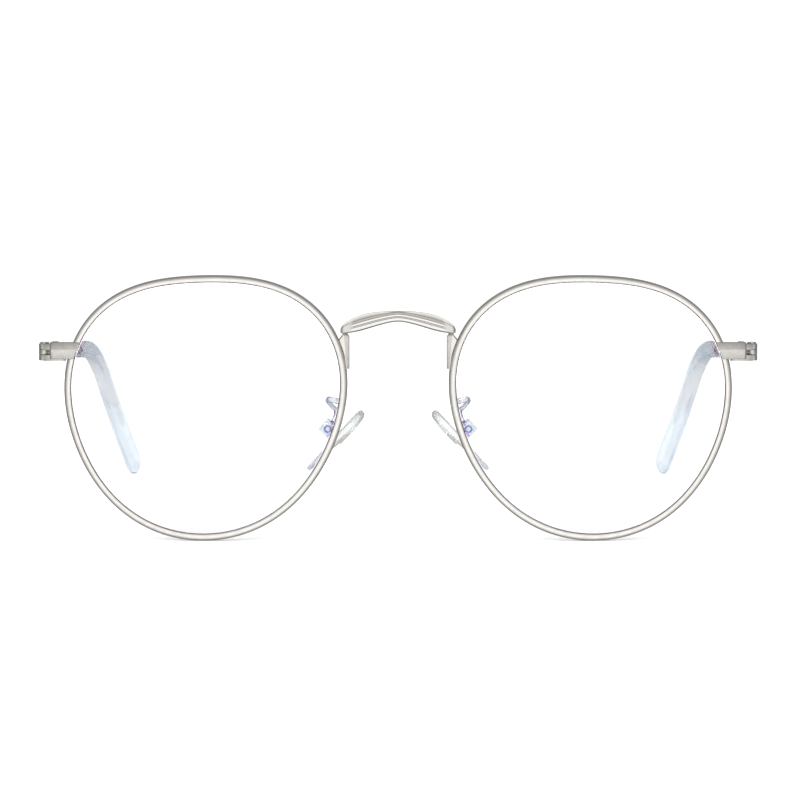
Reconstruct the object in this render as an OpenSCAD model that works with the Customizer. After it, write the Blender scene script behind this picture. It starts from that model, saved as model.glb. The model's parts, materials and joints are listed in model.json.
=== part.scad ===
// Round wire eyeglasses, open and standing on the rims' lowest points and the tips.
// Millimetres. +Z is up, the front faces -Y and the temples run to +Y.
// "left" is the wearer's left, which is +X. The origin is at the middle of the
// footprint, on the surface that the glasses stand on.

/* [Eyes] */
// Mean radius of the rim wire's centreline
eye_r = 25.6; // [20:0.1:31]
// Distance between the two rims at their nearest
nose_gap = 20.6; // [16:0.1:25]
// Raises the widest part of the eye, as a share of the radius
eye_lift = 0.039; // [0:0.001:0.06]
// Widens the eye and lowers it, as a share of the radius
eye_wide = 0.027; // [0:0.001:0.05]
// Leans the eye towards the nose, as a share of the radius
eye_lean = 0.011; // [0:0.001:0.02]
// Flattens the brow and narrows the cheek side, as a share of the radius
eye_brow = 0.041; // [0:0.001:0.05]
// Squares the eye's corners, as a share of the radius
eye_square = 0.014; // [0:0.001:0.02]
// Backward turn of each half of the front, in degrees
face_form = 3; // [0:0.5:6]

/* [Rim and lens] */
// Width of the rim wire seen from the front
rim_w = 1.4; // [1.1:0.1:2]
// Depth of the rim wire, front to back
rim_d = 2; // [1.6:0.1:2.6]
// Depth of the lens groove inside the rim
groove_depth = 0.45; // [0.3:0.05:0.6]
// Width of the lens groove at its mouth
groove_w = 0.9; // [0.7:0.05:1.1]
// Thickness of the lens
lens_t = 1.8; // [1.2:0.1:2.4]
// Radius of the sphere that the lens and rim follow
base_curve_r = 100; // [70:5:200]
// Play between the lens bevel and its groove
lens_clear = 0.02; // [0.01:0.01:0.05]

/* [Bridge] */
// Height of the bridge's lower edge, at its middle, above the lens centre
bridge_z = 16.5; // [14:0.1:18]
// Reach of each end of the bridge past the rims' nearest points
bridge_over = 0.6; // [0.2:0.1:1.2]
// Height of the bridge bar at its middle
bridge_h = 1.95; // [1.6:0.05:2.4]
// Depth of the bridge bar, front to back
bridge_d = 2.2; // [1.6:0.1:2.8]
// Fall of the bridge's lower edge, as a slope
bridge_slope = 0.33; // [0.2:0.01:0.36]
// Height of the bridge leg's lower end above the lens centre
leg_z = 7.5; // [5:0.1:9]
// Gap between the bridge leg and the rims' nearest points, measured towards the nose
leg_reach = 1.04; // [0.9:0.02:1.6]
// Depth of the bridge leg, front to back
leg_d = 1.4; // [1:0.1:1.8]

/* [End piece and hinge] */
// Height of the end piece's middle above the lens centre
end_z = 10.8; // [6:0.1:13]
// Height of the end piece
end_h = 3.2; // [3:0.1:4.2]
// Length of the end piece past the rim's outer edge
end_len = 3.8; // [3.7:0.1:7]
// Thickness of the end piece in front of the rim
end_t = 1.2; // [0.8:0.1:1.8]
// Thickness of the end piece's outer cheek
cheek_t = 1.1; // [0.9:0.1:1.4]
// Depth of the outer cheek behind the rim's front face
cheek_d = 3.9; // [3.5:0.1:5]
// Distance from the end piece's outer face to the hinge axis
hinge_out = 1.9; // [1.3:0.1:2.3]
// Drop of the hinge's middle below the end piece's middle
hinge_drop = 0.6; // [0:0.1:0.8]
// Gap between the two halves of the rim lock
lock_gap = 0.3; // [0.2:0.05:0.5]
// Depth of the rim lock blocks, front to back
lock_d = 2.6; // [2.4:0.1:3]
// Diameter of the rim lock screw
lock_screw_d = 1.2; // [1:0.1:1.2]
// Thickness of the hinge leaf
leaf_t = 0.8; // [0.6:0.1:1]
// Diameter of the hinge knuckles
knuckle_d = 2.2; // [1.9:0.1:2.7]
// Diameter of the hinge screw
hinge_screw_d = 1.1; // [0.9:0.05:1.2]
// Radial play of a screw in its hole
screw_clear = 0.03; // [0.02:0.01:0.05]
// Play between stacked knuckles
knuckle_clear = 0.06; // [0.04:0.01:0.1]

/* [Temples] */
// Length of a temple from the hinge to its end, along the wire
temple_len = 145; // [120:1:175]
// Diameter of the temple wire
wire_d = 1.5; // [1.2:0.1:1.8]
// Distance from the hinge to the front of the plastic tip
tip_start = 78; // [70:1:90]
// Distance from the hinge to the start of the ear bend
bend_start = 92.5; // [84:0.5:100]
// Radius of the ear bend
bend_r = 30; // [15:1:40]
// Angle of the ear bend, in degrees
bend_angle = 40; // [20:1:45]
// How far the end of the tip curves in towards the head
tip_inward = 8.2; // [0:0.1:10]
// Thickness of the plastic tip at its front end
tip_d = 3.3; // [2.8:0.1:3.6]
// Height of the plastic tip near its end, in the plane of the bend
paddle_h = 5.4; // [4:0.1:7]
// Width of the plastic tip near its end, across the bend
paddle_w = 3.3; // [2.8:0.1:4]
// Length of solid plastic past the end of the wire
tip_solid = 17; // [6:0.5:26]

/* [Nose pads] */
// Distance of the pad screw from the rims' nearest points, away from the nose
pad_out = 3.5; // [2.5:0.1:5]
// Height of the pad screw relative to the lens centre
pad_z = -4.3; // [-8:0.1:-3]
// Distance of the pad screw behind the middle of the rim
pad_y = 6.6; // [6:0.1:9]
// Lean of the pad away from vertical, in degrees
pad_lean = 43; // [30:1:50]
// Length of the pad
pad_len = 14.9; // [12:0.1:17]
// Width of the pad, front to back
pad_w = 8; // [6:0.1:9]
// Thickness of the pad at its middle
pad_t = 2; // [1.8:0.1:2.6]
// Distance from the pad screw to the pad's back face
pad_offset = 2; // [1.8:0.05:2.4]
// Drop of the pad's centre along its own length, below the screw
pad_drop = 0.75; // [0:0.05:1.5]
// Diameter of the pad arm's wire
arm_d = 0.9; // [0.7:0.05:1]
// Height of the pad arm's foot above the lens centre
arm_foot_z = 1.2; // [0:0.1:3]
// Diameter of the pad screw
pad_screw_d = 0.8; // [0.6:0.05:0.9]

/* [Hidden] */

LEFT = 1;
RIGHT = -1;
METAL = [0.78, 0.77, 0.74];
CLEAR_LENS = [0.8, 0.85, 0.95, 0.3];
ACETATE = [0.75, 0.82, 0.88, 0.7];
SILICONE = [0.85, 0.88, 0.9, 0.6];
$fn = 48;

// Overlap of two pieces that are brazed together
braze = 0.12;
// Overrun of a cutting shape past the face that it cuts
cut = 1;

// ---- the eye's outline: angle 0 points to the nose, 90 points up

rim_stations = 72;

function rim_radius(a) =
    eye_r * (1 + eye_lift * sin(a)
        + eye_wide * cos(2 * a) + eye_lean * sin(2 * a)
        + eye_brow * sin(3 * a) - eye_square * cos(4 * a));

// Direction, in degrees, of the outline's outward normal at angle a
function rim_normal(a) =
    let (step = 0.5, slope = (rim_radius(a + step) - rim_radius(a - step)) / (2 * step * PI / 180))
    a - atan(slope / rim_radius(a));

// Angle at which the outline passes height z on its nose side
function nose_angle(z, tries = 8) =
    asin(z / (tries == 0 ? eye_r : rim_radius(nose_angle(z, tries - 1))));

// Angle at which the outline passes height z on its temple side
function temple_angle(z, tries = 8) =
    180 - asin(z / (tries == 0 ? eye_r : rim_radius(temple_angle(z, tries - 1))));

// How far a sphere of the base curve falls back at radius r
function sag(r) = base_curve_r - sqrt(pow(base_curve_r, 2) - pow(r, 2));

function rim_y(r) = sag(r) - sag(eye_r);

nose_extent = max([for (a = [-30:1:60]) rim_radius(a) * cos(a)]);
rim_low = max([for (a = [230:1:310]) -rim_radius(a) * sin(a)]) + rim_w / 2;

// Sideways place of the lens centre
eye_x = nose_gap / 2 + nose_extent;

// Point off the outline: out is away from the lens centre, back is towards the face
function eye_point(a, out = 0, back = 0) =
    let (r = rim_radius(a), n = rim_normal(a))
    [eye_x - r * cos(a) - out * cos(n), rim_y(r) + back, r * sin(a) + out * sin(n)];

// ---- places that several pieces share

lock_angle = temple_angle(end_z);
lock_lean = 180 - rim_normal(lock_angle);
end_in = eye_point(lock_angle, -rim_w / 2).x;
end_out = eye_point(lock_angle, rim_w / 2).x + end_len;
front_y = rim_y(rim_radius(lock_angle)) - rim_d / 2 + braze;
cheek_back = front_y + cheek_d;
leaf_back = cheek_back + leaf_t;

knuckle_r = knuckle_d / 2;
knuckle_h = end_h / 3;
hinge_x = end_out + hinge_out;
hinge_z = end_z - hinge_drop;
leaf_clear = 0.2;
hinge_y = leaf_back + knuckle_r + leaf_clear;

// World place of the hinge axis, once the half front is turned back by face_form
hinge_wx = hinge_x * cos(face_form) - hinge_y * sin(face_form);
hinge_wy = hinge_x * sin(face_form) + hinge_y * cos(face_form);

// ---- general sweep

function reversed(list) = [for (i = [len(list) - 1:-1:0]) list[i]];

// Mesh from rings of equal length. The first and last ring are closed by flat ends, each
// made of the convex polygons in end, which index the points of a ring.
module skin(rings, end) {
    m = len(rings[0]);
    n = len(rings);
    caps = is_undef(end) ? [[for (j = [0:m - 1]) j]] : end;
    sides = [for (i = [0:n - 2], j = [0:m - 1])
        let (a = i * m + j, b = i * m + (j + 1) % m)
        each [[a, b, b + m], [a, b + m, a + m]]];
    first = [for (cap = caps) reversed(cap)];
    last = [for (cap = caps) [for (j = cap) (n - 1) * m + j]];
    polyhedron([for (ring = rings) each ring], concat(sides, first, last), convexity = 6);
}

function unit(v) = v / norm(v);

// Oval ring: half sizes along the directions u and v around c
function oval(c, u, v, ru, rv, sides) =
    [for (j = [0:sides - 1]) let (t = 360 * j / sides) c + u * (ru * cos(t)) + v * (rv * sin(t))];

// ---- rim

// Half of the wire's section, as shares of its width and depth
rim_half = [[-0.5, 0.31], [-0.32, 0.45], [0, 0.5], [0.32, 0.4], [0.5, 0.17]];

function rim_section() = concat(
    [for (p = rim_half) [p.x * rim_w, p.y * rim_d]],
    [for (p = reversed(rim_half)) [p.x * rim_w, -p.y * rim_d]],
    [[-rim_w / 2, -groove_w / 2], [-rim_w / 2 + groove_depth, 0], [-rim_w / 2, groove_w / 2]]);

// Convex polygons that make up the section, around the groove
rim_cap = [[2, 3, 4, 5, 6, 7], [1, 2, 11], [2, 7, 11], [7, 8, 11], [0, 1, 11, 12], [8, 9, 10, 11]];

module rim(side) {
    half_slot = asin(lock_gap / 2 / rim_radius(lock_angle));
    first = lock_angle + half_slot;
    step = (360 - 2 * half_slot) / rim_stations;
    section = rim_section();
    color(METAL) half_front(side)
        skin([for (i = [0:rim_stations])
            let (a = first + i * step)
            [for (p = section) eye_point(a, p.x, p.y)]], rim_cap);
}

// ---- lens

lens_rings = [0.3, 0.58, 0.82];

function lens_edge(a) = eye_point(a, -rim_w / 2 - 0.15);

// Point of the lens at a share of its own radius, on the face at depth back
function lens_point(a, share, back) =
    let (e = lens_edge(a), x = (e.x - eye_x) * share, z = e.z * share, r = norm([x, z]))
    [eye_x + x, rim_y(r) + back, z];

function lens_outline(share, back) =
    [for (i = [0:rim_stations - 1]) lens_point(lock_angle + i * 360 / rim_stations, share, back)];

function lens_bevel(out, back) =
    [for (i = [0:rim_stations - 1]) eye_point(lock_angle + i * 360 / rim_stations, out, back)];

function lens_surface() = concat(
    [for (share = lens_rings) lens_outline(share, -lens_t / 2)],
    [lens_outline(1, -lens_t / 2),
     lens_bevel(-rim_w / 2 - 0.1, -groove_w / 2 + lens_clear),
     lens_bevel(-rim_w / 2 + groove_depth - 0.08, 0),
     lens_bevel(-rim_w / 2 - 0.1, groove_w / 2 - lens_clear),
     lens_outline(1, lens_t / 2)],
    [for (share = reversed(lens_rings)) lens_outline(share, lens_t / 2)]);

module lens(side) {
    color(CLEAR_LENS) half_front(side)
        skin(lens_surface());
}

// ---- bridge

bridge_half = nose_gap / 2 + bridge_over;
bridge_round = 2;
bridge_end_r = 0.7;
// Distance that the bar's middle stands in front of the rims' middle
bridge_set = 0.5;
// Distance from the middle where the lower edge starts to level out
bridge_level = 6;

// Run of a gable with a rounded ridge, at distance x from the ridge
function gable(x) = sqrt(pow(x, 2) + pow(bridge_round, 2)) - bridge_round;

function bridge_bottom(x) =
    bridge_z - bridge_slope * gable(x) + 0.03 * pow(max(0, abs(x) - bridge_level), 2);

function bridge_top(x) =
    bridge_z + bridge_h - 1.1 * pow(x / bridge_half, 2) - 1.9 * pow(x / bridge_half, 4);

// Share of the bar's full section that is left at x, so that its ends are round
function bridge_taper(x) =
    let (past = max(0, abs(x) - bridge_half + bridge_end_r) / bridge_end_r)
    sqrt(max(0.06, 1 - pow(past, 2)));

module bridge() {
    steps = 14;
    section = [[-0.5, -0.3], [-0.42, -0.46], [-0.25, -0.5], [0.35, -0.5], [0.5, -0.35],
        [0.5, 0.35], [0.35, 0.5], [-0.25, 0.5], [-0.42, 0.46], [-0.5, 0.3]];
    color(METAL) place(LEFT)
        skin([for (i = [-steps:steps])
            let (
                x = bridge_half * sin(90 * i / steps),
                k = bridge_taper(x),
                h = (bridge_top(x) - bridge_bottom(x)) * k,
                c = [x, tan(face_form) * gable(x) - bridge_set, bridge_bottom(x) + h / 2]
            )
            [for (p = section) c + [0, p.x * bridge_d * k, p.y * h]]]);
}

// ---- bridge leg: a flat plate brazed along the nose side of the rim, up to the bridge

leg_x = nose_gap / 2 - leg_reach;
// Height at which the leg ends inside the bridge, and the one where it leaves the rim
neck_z = bridge_bottom(bridge_half - bridge_end_r) + 2 * braze;
leg_top = neck_z - 1.6;

module bridge_leg(side) {
    steps = 5;
    rim_edge = [for (i = [0:steps])
        let (z = leg_z + (leg_top - leg_z) * i / steps, p = eye_point(nose_angle(z), rim_w / 2 - braze))
        [p.x, p.z]];
    neck = [[bridge_half - 0.35, leg_top + 1.1], [bridge_half - 0.35, neck_z], [leg_x + 0.4, neck_z],
        [leg_x + 0.3, leg_top + 1.1], [leg_x, leg_top + 0.8], [leg_x, leg_z]];
    color(METAL) half_front(side)
        translate([0, leg_d / 2 + 0.1, 0])
            rotate([90, 0, 0])
                linear_extrude(leg_d)
                    polygon(concat(rim_edge, neck));
}

// ---- end piece: a faceted bar in front of the rim with a cheek that runs back to the hinge

module endpiece(side) {
    ridge = front_y - end_t;
    shoulder = front_y - 0.6 * end_t;
    color(METAL) half_front(side) difference() {
        union() {
            translate([end_in - end_h, 0, end_z])
                rotate([90, 0, 90])
                    linear_extrude(end_out - end_in + end_h)
                        polygon([[front_y, -end_h / 2], [shoulder, -end_h / 2], [ridge, 0.05 * end_h],
                            [shoulder, end_h / 2], [front_y, end_h / 2]]);
            translate([end_out - cheek_t, front_y - 0.2, end_z - end_h / 2])
                cube([cheek_t, cheek_d + 0.2, end_h]);
        }
        translate([end_in, front_y, end_z])
            rotate([0, -lock_lean, 0])
                translate([-2 * end_h, 0, 0])
                    cube([4 * end_h, 4 * end_h, 4 * end_h], center = true);
    }
}

// ---- rim lock: two blocks on the rim's cut ends, closed by a screw from below

lock_half = end_h / 2 - 0.1;
lock_out = end_out - cheek_t;
lock_head_d = lock_screw_d + 0.7;
lock_head_h = 0.5;
// Wall between the screw's head and the cheek
lock_wall = 0.28;
lock_screw_x = lock_out - lock_wall - screw_clear - lock_head_d / 2;
lock_screw_y = front_y + lock_d / 2;

// Inner end of the block whose middle is at height z, sunk into the rim for the braze
function lock_in(z) = eye_point(temple_angle(z), rim_w / 2 - 2 * braze).x;

module lock_block(bottom, top) {
    x = lock_in((bottom + top) / 2);
    translate([x, front_y, bottom])
        cube([lock_out - x, lock_d, top - bottom]);
}

module lock_bore() {
    translate([lock_screw_x, lock_screw_y, end_z - end_h])
        cylinder(h = 2 * end_h, d = lock_screw_d + 2 * screw_clear);
}

module rim_lock_upper(side) {
    color(METAL) half_front(side) difference() {
        lock_block(end_z + lock_gap / 2, end_z + lock_half);
        lock_bore();
    }
}

module rim_lock_lower(side) {
    color(METAL) half_front(side) difference() {
        lock_block(end_z - lock_half, end_z - lock_gap / 2);
        lock_bore();
        translate([lock_screw_x, lock_screw_y, end_z - lock_half - cut])
            cylinder(h = lock_head_h + cut, d = lock_head_d + 2 * screw_clear);
    }
}

module rim_lock_screw(side) {
    color(METAL) half_front(side) translate([lock_screw_x, lock_screw_y, end_z - lock_half])
        difference() {
            union() {
                cylinder(h = 2 * lock_half, d = lock_screw_d);
                cylinder(h = lock_head_h, d = lock_head_d);
            }
            translate([-lock_head_d, -0.15, -cut])
                cube([2 * lock_head_d, 0.3, cut + 0.25]);
        }
}

// ---- hinge

// How far the knuckles' arms reach in over the leaf, short of the folded temple's block
arm_in = 0.3;
leaf_w = 2.4;

module hinge_front(side) {
    color(METAL) half_front(side) difference() {
        union() {
            translate([end_out - leaf_w, cheek_back, hinge_z - end_h / 2])
                cube([leaf_w, leaf_t, end_h]);
            for (z = [-end_h / 2, end_h / 2 - knuckle_h])
                translate([0, 0, hinge_z + z]) {
                    translate([hinge_x, hinge_y, 0])
                        cylinder(h = knuckle_h, r = knuckle_r);
                    translate([end_out - arm_in, cheek_back, 0])
                        cube([hinge_out + arm_in, hinge_y - cheek_back, knuckle_h]);
                }
        }
        translate([hinge_x, hinge_y, hinge_z - end_h])
            cylinder(h = 2 * end_h, d = hinge_screw_d + 2 * screw_clear);
    }
}

hinge_head_d = hinge_screw_d + 0.6;
hinge_head_h = 0.3;

module hinge_screw(side) {
    top = hinge_z + end_h / 2;
    color(METAL) half_front(side) translate([hinge_x, hinge_y, 0]) difference() {
        union() {
            translate([0, 0, hinge_z - end_h / 2])
                cylinder(h = end_h, d = hinge_screw_d);
            translate([0, 0, top])
                cylinder(h = hinge_head_h, d = hinge_head_d);
        }
        translate([-hinge_head_d, -0.15, top + hinge_head_h - 0.2])
            cube([2 * hinge_head_d, 0.3, 0.2 + cut]);
    }
}

// The temple's side of the hinge: one knuckle, a tang and the block that holds the wire
tang_w = 1.2;
tang_len = hinge_out + arm_in + 0.2;
butt_w = wire_d + 0.4;
butt_h = wire_d + 1.1;
butt_len = 2.2;
butt_front = tang_len - 0.1;
// Distance that the wire reaches into the block
wire_seat = butt_len - 1;

module hinge_temple(side) {
    h = knuckle_h - 2 * knuckle_clear;
    color(METAL) at_hinge(side) difference() {
        union() {
            translate([0, 0, -h / 2])
                cylinder(h = h, r = knuckle_r);
            translate([-tang_w / 2, 0, -h / 2])
                cube([tang_w, tang_len, h]);
            translate([-butt_w / 2, butt_front, -butt_h / 2])
                cube([butt_w, butt_len, butt_h]);
        }
        translate([0, 0, -end_h])
            cylinder(h = 2 * end_h, d = hinge_screw_d + 2 * screw_clear);
    }
}

// ---- temple wire and its plastic tip, drawn level from the hinge and then tipped down

bend_arc = bend_r * bend_angle * PI / 180;
inward_start = bend_start - 8;
straight_end = min(tip_start, inward_start);
wire_end = temple_len - tip_solid;
tip_sides = 14;
// Length over which the tip's end is rounded off
tip_round = 3.4;

// Distance that the wire has curved in towards the head at s
function inward(s) =
    s <= inward_start ? 0 : tip_inward * pow((s - inward_start) / (temple_len - inward_start), 1.4);

// Place of the wire's centre at distance s from the hinge, along the wire
function wire_point(s) =
    let (
        t = max(0, min(s - bend_start, bend_arc)) * 180 / PI / bend_r,
        past = max(0, s - bend_start - bend_arc),
        y = min(s, bend_start) + bend_r * sin(t) + past * cos(bend_angle),
        z = -bend_r * (1 - cos(t)) - past * sin(bend_angle)
    ) [-inward(s), y, z];

function wire_dir(s) = unit(wire_point(s + 0.2) - wire_point(s - 0.2));

// Oval section across the wire at s: rw is half its width, rh is half its height
function wire_ring(s, rw, rh) =
    let (d = wire_dir(s), u = unit(cross(d, [0, 0, 1])), v = cross(u, d))
    oval(wire_point(s), u, v, rw, rh, tip_sides);

// Blend from 0 at the tip's front to 1 where the paddle is fullest
function paddle_share(s) =
    let (t = max(0, min(1, (s - tip_start) / (temple_len - 10 - tip_start)))) t * t * (3 - 2 * t);

// Share of the full section that is left at s, so that the tip's end is round
function end_share(s) =
    let (past = max(0, s - temple_len + tip_round) / tip_round)
    sqrt(max(0.04, 1 - pow(past, 2)));

function tip_half_w(s) = (tip_d + (paddle_w - tip_d) * paddle_share(s)) / 2 * end_share(s);
function tip_half_h(s) = (tip_d + (paddle_h - tip_d) * paddle_share(s)) / 2 * end_share(s);

// Half the wire's thickness at s: it tapers inside the plastic
function wire_r(s) =
    wire_d / 2 * (1 - 0.4 * max(0, s - tip_start) / (wire_end - tip_start));

// Places along the plastic tip: even steps, then closer ones round its end
tip_steps = 17;
tip_stops = concat(
    [for (i = [0:tip_steps]) tip_start + (temple_len - tip_round - tip_start) * i / tip_steps],
    [for (t = [30:20:90]) temple_len - tip_round * (1 - sin(t))]);
core_stops = [for (s = tip_stops) if (s < wire_end - 1) s];

tip_rings = [for (s = tip_stops) wire_ring(s, tip_half_w(s), tip_half_h(s))];

// Downward slope at which the tips just reach the surface that the rims stand on
hinge_h = rim_low + hinge_z;
slope = min([for (ring = tip_rings, p = ring)
    asin(hinge_h / norm([p.y, p.z])) - atan2(-p.z, p.y)]);

module temple(side) {
    start = butt_front + butt_len - wire_seat;
    stops = concat([straight_end], [for (s = core_stops) if (s > straight_end + 1) s], [wire_end]);
    color(METAL) at_hinge(side) rotate([-slope, 0, 0]) union() {
        translate([0, start, 0])
            rotate([-90, 0, 0])
                cylinder(h = straight_end - start, d = wire_d);
        skin([for (s = stops) wire_ring(s, wire_r(s), wire_r(s))]);
    }
}

module temple_tip(side) {
    play = 0.03;
    inner = [for (s = concat(core_stops, [wire_end + play]))
        wire_ring(s, wire_r(s) + play, wire_r(s) + play)];
    // One closed mesh: from the bottom of the bore out to its mouth, then along the outside
    color(ACETATE) at_hinge(side) rotate([-slope, 0, 0])
        skin(concat(reversed(inner), tip_rings));
}

// ---- nose pad assembly, drawn about its screw with +x away from the nose

pad_x = nose_gap / 2 + pad_out;
box_n = 2.8;
box_u = 2.6;
box_w = 2.6;
box_wall = 0.45;
slot_w = 1.1;
stem_t = 1;
stem_h = pad_screw_d + 0.4;
plate_t = 0.5;
plate_len = 5;
plate_w = 3;
pad_play = 0.02;

module pad_box(side) {
    color(METAL) at_pad(side) difference() {
        translate([-box_n / 2, -box_w / 2, -box_u / 2])
            cube([box_n, box_w, box_u]);
        translate([-box_n / 2 - cut, -slot_w / 2, -box_u / 2 + box_wall])
            cube([box_n - box_wall + cut, slot_w, box_u - 2 * box_wall]);
        rotate([90, 0, 0])
            cylinder(h = 2 * box_w, d = pad_screw_d + 2 * screw_clear, center = true);
    }
}

pad_head_d = 2.4;
pad_head_h = 0.5;

module pad_screw(side) {
    color(METAL) at_pad(side) rotate([90, 0, 0]) difference() {
        union() {
            translate([0, 0, -box_w / 2])
                cylinder(h = box_w, d = pad_screw_d);
            translate([0, 0, box_w / 2])
                cylinder(h = pad_head_h, d = pad_head_d);
        }
        translate([0, 0, box_w / 2 + pad_head_h - 0.25])
            cylinder(h = cut, d = 1.4);
    }
}

module pad_insert(side) {
    stem_len = pad_offset + 0.6;
    color(METAL) at_pad(side) difference() {
        union() {
            translate([-pad_offset, -stem_t / 2, -stem_h / 2])
                cube([stem_len, stem_t, stem_h]);
            translate([-pad_offset - plate_t, -plate_w / 2, -pad_drop - plate_len / 2])
                cube([plate_t, plate_w, plate_len]);
        }
        rotate([90, 0, 0])
            cylinder(h = 2 * box_w, d = pad_screw_d + 2 * screw_clear, center = true);
    }
}

// Depth below the pad's back face, and share of its outline, of each ring of the pad
function pad_ring(deep, share) =
    [for (j = [0:23]) let (t = -15 * j)
        [-pad_offset - deep, share * pad_w / 2 * cos(t),
            -pad_drop + share * pad_len / 2 * sin(t) * (1 - 0.04 * cos(2 * t))]];

module nose_pad(side) {
    color(SILICONE) at_pad(side) difference() {
        skin([
            pad_ring(0, 0.9), pad_ring(0.12 * pad_t, 0.98), pad_ring(0.3 * pad_t, 1),
            pad_ring(0.5 * pad_t, 0.96), pad_ring(0.78 * pad_t, 0.8), pad_ring(0.94 * pad_t, 0.52),
            pad_ring(pad_t, 0.2)]);
        translate([-pad_offset - plate_t - pad_play, -plate_w / 2 - pad_play,
                -pad_drop - plate_len / 2 - pad_play])
            cube([plate_t + cut, plate_w + 2 * pad_play, plate_len + 2 * pad_play]);
    }
}

// ---- pad arm: a flat foot brazed to the back of the rim, then a wire that turns back to the box

foot = eye_point(nose_angle(arm_foot_z), 0.1, rim_d / 2 - 0.25);
box_top = [pad_x, pad_y, pad_z] + box_u / 2 * [-sin(pad_lean), 0, cos(pad_lean)];
arm_route = [
    foot + [-0.5, -0.1, 0],
    foot,
    foot + [1.1, 0.75, 0],
    foot + [2.85, 1.7, 0.35],
    foot + [3.3, 2.75, 0],
    foot + [2.55, 3.85, -1.1],
    foot + [1.9, 4.65, -1.9],
    box_top + [-0.6, -0.5, 1.8],
    box_top + [-0.35, -0.15, 1],
    box_top + [0.07, 0, -0.07],
    box_top + [0.4, 0, -0.45]
];
arm_foot_h = 1.1;
arm_foot_t = 0.55;

// Smooth curve through the points of a route: t counts points, and the end points only steer it
function along(route, t) =
    let (
        i = max(1, min(floor(t), len(route) - 3)), f = t - i,
        a = route[i - 1], b = route[i], c = route[i + 1], d = route[i + 2]
    ) 0.5 * (2 * b + f * (c - a + f * (2 * a - 5 * b + 4 * c - d + f * (3 * b - a - 3 * c + d))));

module pad_arm(side) {
    per = 4;
    color(METAL) half_front(side)
        skin([for (i = [0:per * (len(arm_route) - 3)])
            let (
                t = 1 + i / per,
                c = along(arm_route, t),
                d = unit(along(arm_route, t + 0.04) - along(arm_route, t - 0.04)),
                u = unit(cross([0, 0, 1], d)),
                v = cross(d, u),
                flat = max(0, min(1, 4.2 - t))
            )
            oval(c, u, v, arm_d / 2 + (arm_foot_t - arm_d) / 2 * flat,
                arm_d / 2 + (arm_foot_h - arm_d) / 2 * flat, 10)]);
}

// ---- placing

// Front-most and rear-most points of the whole object, before it is centred
front_most = min([for (share = [0, 0.3, 0.6], a = [0:10:350])
    let (p = lens_point(a, share, -lens_t / 2)) p.x * sin(face_form) + p.y * cos(face_form)]);
rear_most = hinge_wy + max([for (ring = tip_rings, p = ring) p.y * cos(slope) + p.z * sin(slope)]);

module place(side) {
    translate([0, -(front_most + rear_most) / 2, rim_low])
        mirror([side == RIGHT ? 1 : 0, 0, 0])
            children();
}

module half_front(side) {
    place(side) rotate([0, 0, face_form]) children();
}

module at_pad(side) {
    half_front(side) translate([pad_x, pad_y, pad_z]) rotate([0, -pad_lean, 0]) children();
}

module at_hinge(side) {
    place(side) translate([hinge_wx, hinge_wy, hinge_z]) children();
}

// ---- what is drawn

bridge();
bridge_leg(LEFT);  // bridge_leg_left
bridge_leg(RIGHT);  // bridge_leg_right
rim(LEFT);  // rim_left
rim(RIGHT);  // rim_right
lens(LEFT);  // lens_left
lens(RIGHT);  // lens_right
endpiece(LEFT);  // endpiece_left
endpiece(RIGHT);  // endpiece_right
rim_lock_upper(LEFT);  // rim_lock_upper_left
rim_lock_upper(RIGHT);  // rim_lock_upper_right
rim_lock_lower(LEFT);  // rim_lock_lower_left
rim_lock_lower(RIGHT);  // rim_lock_lower_right
rim_lock_screw(LEFT);  // rim_lock_screw_left
rim_lock_screw(RIGHT);  // rim_lock_screw_right
hinge_front(LEFT);  // hinge_front_left
hinge_front(RIGHT);  // hinge_front_right
hinge_screw(LEFT);  // hinge_screw_left
hinge_screw(RIGHT);  // hinge_screw_right
hinge_temple(LEFT);  // hinge_temple_left
hinge_temple(RIGHT);  // hinge_temple_right
temple(LEFT);  // temple_left
temple(RIGHT);  // temple_right
temple_tip(LEFT);  // temple_tip_left
temple_tip(RIGHT);  // temple_tip_right
pad_arm(LEFT);  // pad_arm_left
pad_arm(RIGHT);  // pad_arm_right
pad_box(LEFT);  // pad_box_left
pad_box(RIGHT);  // pad_box_right
pad_screw(LEFT);  // pad_screw_left
pad_screw(RIGHT);  // pad_screw_right
pad_insert(LEFT);  // pad_insert_left
pad_insert(RIGHT);  // pad_insert_right
nose_pad(LEFT);  // nose_pad_left
nose_pad(RIGHT);  // nose_pad_right
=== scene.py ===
import json
import math

import bmesh
import bpy
from bpy.props import FloatProperty, FloatVectorProperty, IntProperty, PointerProperty
from mathutils import Matrix, Vector


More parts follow.
